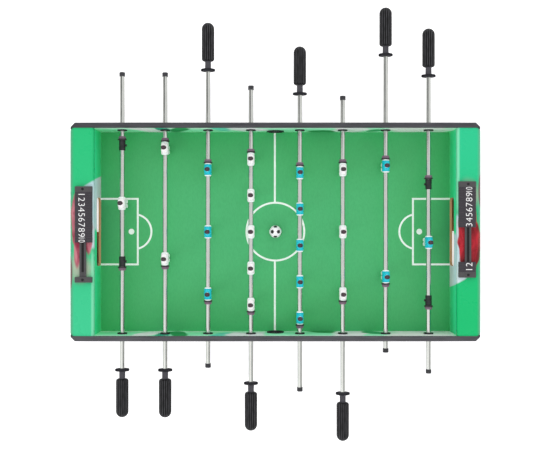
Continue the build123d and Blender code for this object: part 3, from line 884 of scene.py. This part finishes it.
def handle_mesh():
    """A handle along +Y, its hand guard at the origin: guard, neck and ridged grip."""
    rim, guard, neck_end = GUARD_RADIUS, GUARD_THICKNESS, GRIP_START - 1
    outline = [(GUARD_START + along, radius) for along, radius in (
        (0, 6.2), (0, rim - 1.6), (0.3, rim - 0.4), (0.8, rim), (guard - 0.8, rim),
        (guard - 0.3, rim - 0.4), (guard, rim - 1.6), (guard + 0.2, 7.9), (guard + 1.0, 7.2)
    )]
    outline += [(neck_end, 7.0), (neck_end + 0.7, 7.4)]
    for step in range(1, 7):
        lean = math.pi / 2 * step / 6
        outline.append(
            (GRIP_START + 6 * (1 - math.cos(lean)), GRIP_RADIUS - 6 + 6 * math.sin(lean))
        )
    straight = HANDLE_LENGTH - GRIP_RADIUS
    outline += [(GRIP_START + 6 + (straight - GRIP_START - 6) * step / 8, GRIP_RADIUS)
                for step in range(1, 9)]
    for step in range(1, 11):
        lean = math.pi / 2 * step / 10
        outline.append(
            (straight + GRIP_RADIUS * math.sin(lean), max(GRIP_RADIUS * math.cos(lean), 0.02))
        )

    def ridge(y, reach, turn):
        """How far the grooves between the ridges go in, fading out at the grip's tip."""
        if y < GRIP_START:
            return 0.0
        groove = (0.5 - 0.5 * math.cos(RIDGES * turn)) ** 2
        return -RIDGE_DEPTH * groove * min(1.0, (reach - 4.5) / 6 if reach > 4.5 else 0.0)

    handle = Shape()
    count = RIDGES * 8
    rings = []
    for y, reach in outline:
        points = []
        for step in range(count):
            angle = math.tau * step / count
            full = reach + ridge(y, reach, angle)
            points.append(
                handle.mesh.verts.new(Vector((math.sin(angle) * full, y, math.cos(angle) * full)) * MM)
            )
        rings.append(points)
    handle.skin(rings, [0 if y >= GRIP_START else 1 for y, reach in outline[1:]])
    return handle.data("handle", [GRIP, GUARD], 45.0)


def bumper_mesh():
    """A bumper along +Y: the flange disc at the origin, then the rubber ring."""
    bumper = Shape()
    bore = ROD_BORE + 0.05
    bumper.tube_y(
        [(0.0, 9.9), (0.2, 10.5), (0.8, 10.6), (2.2, 10.6), (2.8, 10.4), (3.0, 9.8)], bore, 1, 48
    )
    bumper.tube_y(
        [(3.0, 8.0), (3.3, 8.45), (5.3, 8.5), (5.6, 8.25), (5.9, 8.5), (8.4, 8.4), (8.9, 8.0),
         (9.0, 7.4)],
        bore, 0, 48,
    )
    return bumper.data("bumper", [RUBBER, FLANGE])


HANDLE_MESH = handle_mesh()
BUMPER_MESH = bumper_mesh()

for rod in RODS:
    x, z = rod_axis(rod)
    paint(f"{rod}_rod", CHROME)
    paint(f"{rod}_end_cap", CAP)
    low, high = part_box(f"{rod}_handle")
    far = high[1] > WALL
    guard = low[1] if far else high[1]
    handle = put(f"{rod}_handle_grip", HANDLE_MESH, body_of_node(f"{rod}_handle"),
                 (x, guard, z), 0.0 if far else math.pi)
    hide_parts(f"{rod}_handle")
    low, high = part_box(f"{rod}_bumpers")
    for word, y, turn in (("near", low[1] + 9 * MM, math.pi), ("far", high[1] - 9 * MM, 0.0)):
        ring = put(f"{rod}_bumper_{word}", BUMPER_MESH, body_of_node(f"{rod}_bumpers"),
                   (x, y, z), turn)
        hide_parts(f"{rod}_bumpers")


# ---------------------------------------------------------------- score beads

DIGIT_HEIGHT = 14.5 * MM
DIGIT_LIMIT = 10.6 * MM
DIGIT_OUTWARD = 4.0 * MM
BEAD_PITCH = 11.76 * MM
BEAD_NODES = {
    "left_beads_1_to_9": (-1, range(1, 10)),
    "left_bead_10": (-1, range(10, 11)),
    "right_beads_1_to_2": (1, range(1, 3)),
    "right_beads_3_to_10": (1, range(3, 11)),
}


def digit_mesh(number):
    """The number as a thin raised print, centred, its top towards +Y."""
    text = bpy.data.curves.new(f"digit_{number}", "FONT")
    text.body = str(number)
    text.size = 1.0
    text.offset = -0.012
    text.extrude = 0.01
    writer = bpy.data.objects.new("digit_writer", text)
    bpy.context.scene.collection.objects.link(writer)
    bpy.context.view_layer.update()
    data = bpy.data.meshes.new_from_object(writer.evaluated_get(bpy.context.evaluated_depsgraph_get()))
    bpy.data.objects.remove(writer)
    xs = [vert.co.x for vert in data.vertices]
    ys = [vert.co.y for vert in data.vertices]
    middle = Vector(((min(xs) + max(xs)) / 2, (min(ys) + max(ys)) / 2, 0))
    tall = DIGIT_HEIGHT / (max(ys) - min(ys))
    wide = min(tall, DIGIT_LIMIT / (max(xs) - min(xs)))
    for vert in data.vertices:
        offset = vert.co - middle
        vert.co = (offset.x * wide, offset.y * tall, offset.z * 0.01)
    data.materials.clear()
    data.materials.append(DIGIT)
    return data


DIGITS = {number: digit_mesh(number) for number in range(1, 11)}

for node, (side, numbers) in BEAD_NODES.items():
    paint(node, COUNTER)
    soften(node, 0.35 * MM)
    low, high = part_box(node)
    first = high[1] if side < 0 else low[1]
    middle_x = (low[0] + high[0]) / 2
    for place, number in enumerate(numbers):
        y = first + side * (place + 0.5) * BEAD_PITCH
        put(f"{'left' if side < 0 else 'right'}_digit_{number}", DIGITS[number], body_of_node(node),
            (middle_x + side * DIGIT_OUTWARD, y, BEAD_TOP + 0.05 * MM),
            side * math.pi / 2)


# ---------------------------------------------------------------- ball

ball_low, ball_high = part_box("ball")
BALL_CENTRE = (ball_low + ball_high) / 2
BALL_RADIUS = (ball_high[2] - ball_low[2]) / 2
SEAM_WIDTH = 0.045
SEAM_DEPTH = 0.018


def ball_mesh():
    """A ball of twelve black and twenty white panels, with a groove along each seam."""
    ball = Shape()
    bmesh.ops.create_icosphere(ball.mesh, subdivisions=1, radius=1.0)
    ball.mesh.edges.ensure_lookup_table()
    start, end = (vert.co for vert in ball.mesh.edges[0].verts)
    up, along = (start + end).normalized(), (end - start).normalized()
    bmesh.ops.rotate(
        ball.mesh, verts=ball.mesh.verts, matrix=Matrix((along, up.cross(along), up))
    )
    bmesh.ops.bevel(
        ball.mesh, geom=list(ball.mesh.verts), offset=100 / 3, offset_type="PERCENT",
        segments=1, affect="VERTICES",
    )
    for face in ball.mesh.faces:
        face.material_index = 1 if len(face.verts) == 5 else 0
    seams = [tuple(vert.co.normalized() for vert in edge.verts) for edge in ball.mesh.edges]
    bmesh.ops.poke(ball.mesh, faces=list(ball.mesh.faces))
    bmesh.ops.subdivide_edges(
        ball.mesh, edges=list(ball.mesh.edges), cuts=7, use_grid_fill=True
    )
    for vert in ball.mesh.verts:
        out = vert.co.normalized()
        nearest = 1.0
        for start, end in seams:
            if out.dot(start) < 0.6:
                continue
            span = end - start
            share = max(0.0, min(1.0, (out - start).dot(span) / span.length_squared))
            nearest = min(nearest, (out - (start + span * share).normalized()).length)
        groove = SEAM_DEPTH * max(0.0, 1 - nearest / SEAM_WIDTH) ** 2
        vert.co = out * BALL_RADIUS * (1 - groove)
    return ball.data("ball_panels", [BALL_WHITE, BALL_BLACK], 80.0)


ball = put("ball_panels", ball_mesh(), "ball", BALL_CENTRE)
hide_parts("ball")


# ---------------------------------------------------------------- floor, light and camera

CAMERA_ABOVE_PITCH = 2.174
CAMERA_X = -0.0009
CAMERA_Y = 0.0161
SENSOR_WIDTH = 36.0
FOCAL_LENGTH = 58.5
FLOOR_HALF = 15.0
FLOOR_LEVEL = -0.2 * MM
FLOOR_GLOW = 0.50
LIGHT_SIZE = 1.6


def area_light(name, at, power):
    """A large soft light that is aimed at the middle of the table."""
    data = bpy.data.lights.new(name, "AREA")
    data.shape = "RECTANGLE"
    data.size = data.size_y = LIGHT_SIZE
    data.energy = power
    lamp = bpy.data.objects.new(name, data)
    lamp.location = at
    lamp.rotation_euler = Vector(at).to_track_quat("Z", "Y").to_euler()
    bpy.context.scene.collection.objects.link(lamp)


floor_look = Look("studio_floor", Roughness=0.9)
floor_look.colour(floor_look.vary(srgb(240, 240, 241), 0.01, 3.0))
floor_look.shader.inputs["Emission Color"].default_value = (1.0, 1.0, 1.0, 1.0)
floor_look.shader.inputs["Emission Strength"].default_value = FLOOR_GLOW
floor_data = bpy.data.meshes.new("studio_floor")
floor_corners = [(-1, -1), (1, -1), (1, 1), (-1, 1)]
floor_data.from_pydata(
    [(x * FLOOR_HALF, y * FLOOR_HALF, FLOOR_LEVEL) for x, y in floor_corners], [], [(0, 1, 2, 3)]
)
floor_data.materials.append(floor_look.material)
floor = bpy.data.objects.new("studio_floor", floor_data)
bpy.context.scene.collection.objects.link(floor)

area_light("fill", (2.6, 1.8, 2.2), 5)
area_light("window", (-2.4, -1.6, 2.4), 9)

# A pale sky with dark strips high up, for the chrome to show
SKY_SHADES = [(0.0, 0.72), (0.16, 0.84), (0.4, 1.0), (1.0, 0.92)]
SKY_STRENGTH = 1.2
STRIPS = [(-0.67, 0.62, 0.06, 0.12, 0.86), (0.99, 0.36, -0.05, -0.10, 0.92),
          (-0.35, 1.00, -0.05, -0.10, -0.30)]


def studio_sky():
    """The world. Each strip is (lean in X in radians, half its width, its fade in Y, depth)."""
    world = bpy.data.worlds.new("studio")
    world.use_nodes = True
    sky = Nodes(world.node_tree)
    x, y, z = sky.split(sky.node("TexCoord", out="Generated"))
    shade = sky.ramp(z, [(height, (grey, grey, grey, 1.0)) for height, grey in SKY_SHADES])
    lean_x = sky.math("ARCTAN2", x, z)
    overhead = sky.step(sky.math("ABSOLUTE", y), 0.22, 0.32, 1.0, 0.0)
    light = SKY_STRENGTH
    for lean, half, start, end, depth in STRIPS:
        away = sky.math("ABSOLUTE", sky.math("SUBTRACT", lean_x, lean))
        strip = sky.math(
            "MULTIPLY", sky.step(away, half * 0.6, half, 1.0, 0.0), sky.step(y, start, end, 0.0, depth)
        )
        strip = sky.math("MULTIPLY", strip, overhead)
        light = sky.math("MULTIPLY", light, sky.math("SUBTRACT", 1.0, strip))
    background = world.node_tree.nodes["Background"]
    world.node_tree.links.new(shade, background.inputs["Color"])
    world.node_tree.links.new(light, background.inputs["Strength"])
    return world


world = studio_sky()
bpy.context.scene.world = world
bpy.context.scene.view_settings.view_transform = "Standard"

camera_data = bpy.data.cameras.new("camera")
camera_data.sensor_width = SENSOR_WIDTH
camera_data.lens = FOCAL_LENGTH
camera = bpy.data.objects.new("camera", camera_data)
camera.location = (CAMERA_X, CAMERA_Y, PITCH + CAMERA_ABOVE_PITCH)
bpy.context.scene.collection.objects.link(camera)
bpy.context.scene.camera = camera
